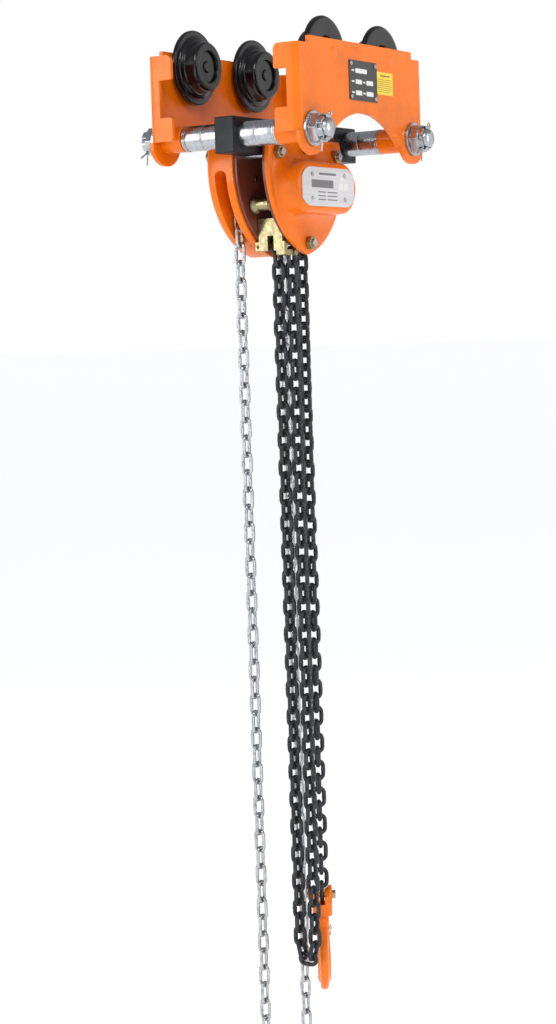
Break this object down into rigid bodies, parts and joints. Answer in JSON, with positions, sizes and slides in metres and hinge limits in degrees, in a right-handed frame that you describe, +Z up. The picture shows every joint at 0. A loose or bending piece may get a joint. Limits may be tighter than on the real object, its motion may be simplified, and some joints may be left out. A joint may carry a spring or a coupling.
{
  "type": "chain hoist with trolley",
  "caption": "Hand-operated chain block hung in a push trolley for an I-beam, with load chain, swivel hook and endless hand chain.",
  "frame": {"origin": "on the running surface of the beam's lower flange, midway between the four wheels", "axes": "+Z up, +X along the beam, -Y the gear side with the name plate, +Y the hand wheel side"},
  "size_m": [0.327, 0.291, 1.4875],
  "materials": {
    "black_chain": "blackened alloy steel",
    "black_paint": "satin black paint",
    "black_plate": "black plate with blank pale fields",
    "black_wheel": "glossy black paint on turned steel",
    "bright_chain": "bright zinc-plated chain",
    "bronze": "plain bronze bearing",
    "friction": "pressed friction lining",
    "inner_paint": "dark red-brown paint on the frame's inner faces",
    "orange_paint": "glossy orange powder coat",
    "silver_plate": "brushed plate with blank grey bars",
    "steel": "oiled machined steel",
    "wheel_rust": "orange-brown painted cast wheel",
    "yellow_label": "yellow film with plain bars",
    "yellow_zinc": "yellow passivated zinc plating",
    "zinc": "bright zinc plating"
  },
  "bodies": {
    "trolley_hoist": {"side_plate_front": "orange_paint", "side_plate_rear": "orange_paint", "wheel_axles": "black_wheel", "wheel_bearings": "black_wheel", "cross_bars": "zinc", "bar_sleeves": "orange_paint", "spacer_tubes": "zinc", "bar_washers": "zinc", "castle_nuts": "zinc", "split_pins": "zinc", "suspension_block": "black_paint", "suspension_pin": "yellow_zinc", "data_plate": "black_plate", "plate_rivets": "zinc", "warning_label": "yellow_label", "frame_plate_gear": "inner_paint", "frame_plate_hand": "inner_paint", "stay_bolts": "zinc", "stay_tubes": "zinc", "stay_nuts": "yellow_zinc", "gear_cover": "orange_paint", "name_plate": "silver_plate", "sheave_bearings": "bronze", "ratchet_disc": "steel", "pawl_posts": "yellow_zinc", "hand_wheel_cover": "orange_paint", "stripper": "yellow_zinc", "roller_pins": "zinc", "anchor_pin": "yellow_zinc", "load_chain_wrap": "black_chain", "load_chain_live": "black_chain", "load_chain_bend": "black_chain", "load_chain_dead": "black_chain", "hand_chain_wrap": "bright_chain"},
    "wheel_fl": {"wheel_front_left": "black_wheel"},
    "wheel_fr": {"wheel_front_right": "black_wheel"},
    "wheel_rl": {"wheel_rear_left": "black_wheel"},
    "wheel_rr": {"wheel_rear_right": "black_wheel"},
    "drive": {"drive_shaft": "steel", "friction_hub": "steel", "friction_discs": "friction", "hand_wheel": "wheel_rust", "hand_wheel_nut": "zinc"},
    "gear_left": {"intermediate_gear_left": "steel"},
    "gear_right": {"intermediate_gear_right": "steel"},
    "sheave": {"load_sheave": "steel", "load_gear": "steel"},
    "pawl_l": {"pawl_left": "steel"},
    "pawl_r": {"pawl_right": "steel"},
    "roller_l": {"guide_roller_left": "yellow_zinc"},
    "roller_r": {"guide_roller_right": "yellow_zinc"},
    "hook_fall": {"load_chain_hook_fall": "black_chain"},
    "yoke": {"hook_yoke": "orange_paint", "hook_bolt": "yellow_zinc"},
    "hook_body": {"hook": "orange_paint", "latch_pin": "zinc"},
    "latch": {"hook_latch": "zinc"},
    "hand_loop": {"hand_chain_front_fall": "bright_chain", "hand_chain_rear_fall": "bright_chain", "hand_chain_bend": "bright_chain"}
  },
  "joints": [
    {"name": "wheel_front_left_spin", "type": "hinge", "parent": "trolley_hoist", "child": "wheel_fl", "pos_m": [-0.0736, -0.09, 0.034], "axis": [0, 1, 0], "continuous": true},
    {"name": "wheel_front_right_spin", "type": "hinge", "parent": "trolley_hoist", "child": "wheel_fr", "pos_m": [0.0736, -0.09, 0.034], "axis": [0, 1, 0], "continuous": true},
    {"name": "wheel_rear_left_spin", "type": "hinge", "parent": "trolley_hoist", "child": "wheel_rl", "pos_m": [-0.0736, 0.09, 0.034], "axis": [0, 1, 0], "continuous": true},
    {"name": "wheel_rear_right_spin", "type": "hinge", "parent": "trolley_hoist", "child": "wheel_rr", "pos_m": [0.0736, 0.09, 0.034], "axis": [0, 1, 0], "continuous": true},
    {"name": "hand_wheel_spin", "type": "hinge", "parent": "trolley_hoist", "child": "drive", "pos_m": [0, 0.052, -0.133], "axis": [0, 1, 0], "continuous": true, "deforming": ["hand_chain_wrap"]},
    {"name": "gear_left_spin", "type": "hinge", "parent": "trolley_hoist", "child": "gear_left", "pos_m": [-0.0375, -0.038, -0.133], "axis": [0, 1, 0], "continuous": true},
    {"name": "gear_right_spin", "type": "hinge", "parent": "trolley_hoist", "child": "gear_right", "pos_m": [0.0375, -0.038, -0.133], "axis": [0, 1, 0], "continuous": true},
    {"name": "sheave_spin", "type": "hinge", "parent": "trolley_hoist", "child": "sheave", "pos_m": [0, 0.006, -0.133], "axis": [0, 1, 0], "continuous": true, "deforming": ["load_chain_wrap"]},
    {"name": "pawl_left_lift", "type": "hinge", "parent": "trolley_hoist", "child": "pawl_l", "pos_m": [-0.048, 0.0396, -0.119], "axis": [0, 1, 0], "range_deg": [0, 14], "stiffness_Nm_per_rad": 0.02, "springref_deg": -20.05},
    {"name": "pawl_right_lift", "type": "hinge", "parent": "trolley_hoist", "child": "pawl_r", "pos_m": [0.048, 0.0396, -0.119], "axis": [0, 1, 0], "range_deg": [-14, 0], "stiffness_Nm_per_rad": 0.02, "springref_deg": 20.05},
    {"name": "roller_left_spin", "type": "hinge", "parent": "trolley_hoist", "child": "roller_l", "pos_m": [-0.059, 0.006, -0.154], "axis": [0, 1, 0], "continuous": true},
    {"name": "roller_right_spin", "type": "hinge", "parent": "trolley_hoist", "child": "roller_r", "pos_m": [0.059, 0.006, -0.154], "axis": [0, 1, 0], "continuous": true},
    {"name": "hook_fall_swing", "type": "hinge", "parent": "trolley_hoist", "child": "hook_fall", "pos_m": [0.03088, 0.006, -0.1684], "axis": [0, -1, 0], "range_deg": [-0.2, 3]},
    {"name": "hook_tilt", "type": "hinge", "parent": "hook_fall", "child": "yoke", "pos_m": [0.03088, 0.006, -1.11342], "axis": [0.5358, -0.8443, 0], "range_deg": [-4, 6]},
    {"name": "hook_swivel", "type": "hinge", "parent": "yoke", "child": "hook_body", "pos_m": [0.03088, 0.006, -1.135], "axis": [0, 0, 1], "range_deg": [-110, 180]},
    {"name": "latch_open", "type": "hinge", "parent": "hook_body", "child": "latch", "pos_m": [0.03595, 0.00921, -1.16192], "axis": [0.5358, -0.8443, 0], "range_deg": [-45, 0], "stiffness_Nm_per_rad": 0.03, "springref_deg": 17.19},
    {"name": "hand_loop_swing", "type": "hinge", "parent": "trolley_hoist", "child": "hand_loop", "pos_m": [0, 0.052, -0.17796], "axis": [1, 0, 0], "range_deg": [-0.4, 3.5]}
  ],
  "couplings": [
    {"joint": "gear_left_spin", "follows": "hand_wheel_spin", "ratio": -0.28205},
    {"joint": "gear_right_spin", "follows": "hand_wheel_spin", "ratio": -0.28205},
    {"joint": "sheave_spin", "follows": "hand_wheel_spin", "ratio": 0.10256}
  ]
}
